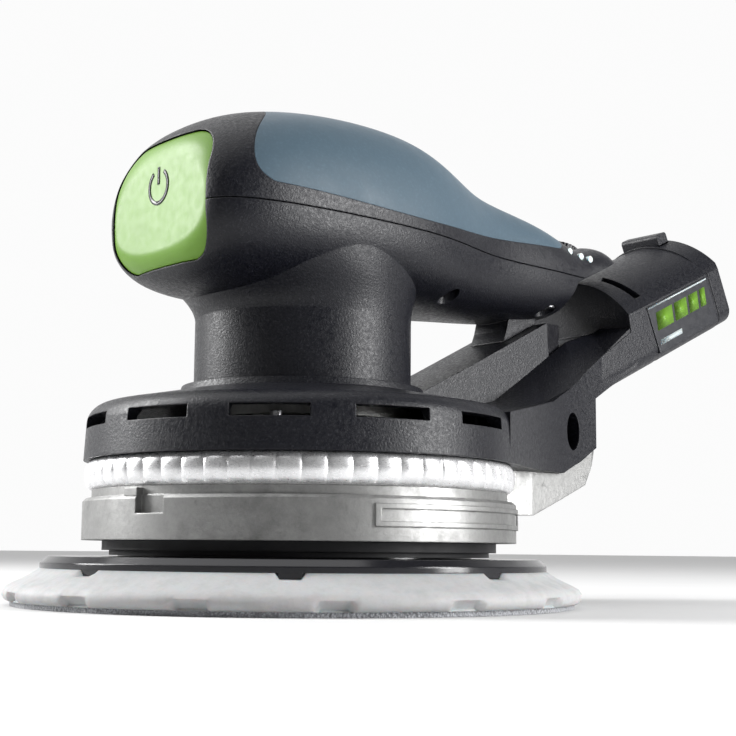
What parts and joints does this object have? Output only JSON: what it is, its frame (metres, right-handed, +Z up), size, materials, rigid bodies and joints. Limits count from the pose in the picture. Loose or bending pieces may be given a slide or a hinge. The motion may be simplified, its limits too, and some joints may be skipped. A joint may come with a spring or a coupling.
{
  "type": "random-orbit sander",
  "caption": "Compact cordless random-orbit sander: round foam pad under a ribbed alloy fan housing, palm grip with front button, rising dust duct, working drive inside.",
  "frame": {"origin": "where the motor axis meets the working face of the sanding pad", "axes": "+X from the nose towards the dust outlet at the rear, +Z up along the motor axis away from the work, +Y completes the right-handed frame"},
  "size_m": [0.2396, 0.15, 0.1308],
  "materials": {
    "black_plastic": "spark-eroded fine grain, charcoal black",
    "soft_touch": "blue-grey soft-touch overmould",
    "green_plastic": "gloss green",
    "cast_aluminium": "bead-blasted die casting",
    "bright_aluminium": "bright turned and polished",
    "black_rubber": "black elastomer",
    "gloss_black": "gloss black moulding",
    "white_foam": "pale grey polyurethane foam",
    "hook_fabric": "hook-and-loop face",
    "steel": "ground steel",
    "plated_steel": "zinc-plated steel",
    "lamination": "electrical steel laminations",
    "magnet": "nickel-plated magnet",
    "copper": "enamelled copper wire",
    "grey_plastic": "glass-filled grey plastic",
    "board_green": "printed circuit board",
    "brass_contact": "gold-flashed contact",
    "capacitor_blue": "sleeved capacitor",
    "clear_light": "milky light pipe",
    "label_film": "smooth black label"
  },
  "bodies": {
    "housing": {"lower_bearing": "steel", "upper_bearing": "steel", "stator_core": "lamination", "stator_windings": "copper", "sensor_board": "board_green", "bearing_bracket": "cast_aluminium", "bracket_screws": "plated_steel", "upper_bearing_bracket": "grey_plastic", "fan_housing": "cast_aluminium", "duct_screws": "plated_steel", "cooling_ring": "bright_aluminium", "pad_brake": "black_rubber", "base_cover": "black_plastic", "dust_outlet_sleeve": "black_plastic", "outlet_seal": "black_rubber", "latch_spring": "steel", "label_plate_left": "label_film", "label_plate_right": "label_film", "soft_grip": "soft_touch", "upper_shell": "black_plastic", "lower_shell": "black_plastic", "grip_screws": "plated_steel", "button_spring": "steel", "power_switch": "gloss_black", "indicator_lights": "clear_light", "control_board": "board_green", "board_capacitors": "capacitor_blue", "terminal_block": "gloss_black", "terminal_contacts": "brass_contact", "battery_rails": "grey_plastic"},
    "rotor": {"motor_shaft": "steel", "rotor_core": "lamination", "rotor_magnets": "magnet", "fan_impeller": "grey_plastic", "eccentric_hub": "steel", "counterweight": "steel", "spindle_bearing": "steel"},
    "pad": {"pad_foam": "white_foam", "hook_face": "hook_fabric", "backing_plate": "gloss_black", "pad_spindle": "steel", "pad_bolt": "plated_steel", "pad_washer": "plated_steel"},
    "button": {"power_button": "green_plastic"},
    "plunger": {"switch_plunger": "grey_plastic"},
    "dial": {"speed_dial": "gloss_black"},
    "latch": {"hose_latch": "black_plastic"}
  },
  "joints": [
    {"name": "rotor_spin", "type": "hinge", "parent": "housing", "child": "rotor", "pos_m": [0, 0, 0.05], "axis": [0, 0, 1], "continuous": true},
    {"name": "pad_spin", "type": "hinge", "parent": "rotor", "child": "pad", "pos_m": [-0.0015, 0, 0.018], "axis": [0, 0, 1], "continuous": true},
    {"name": "button_press", "type": "slide", "parent": "housing", "child": "button", "axis": [1, 0, 0], "range_m": [0, 0.002], "stiffness_N_per_m": 1500, "springref_m": -0.001, "deforming": ["button_spring"]},
    {"name": "switch_plunger_slide", "type": "slide", "parent": "housing", "child": "plunger", "axis": [1, 0, 0], "range_m": [0, 0.002]},
    {"name": "speed_dial_turn", "type": "hinge", "parent": "housing", "child": "dial", "pos_m": [0.101, 0, 0.1074], "axis": [0.208, 0, 0.9781], "range_deg": [0, 270]},
    {"name": "hose_latch_press", "type": "slide", "parent": "housing", "child": "latch", "axis": [0.4147, 0, -0.91], "range_m": [0, 0.0012], "stiffness_N_per_m": 1200, "springref_m": -0.001, "deforming": ["latch_spring"]}
  ],
  "couplings": [
    {"joint": "switch_plunger_slide", "follows": "button_press", "ratio": 1}
  ]
}
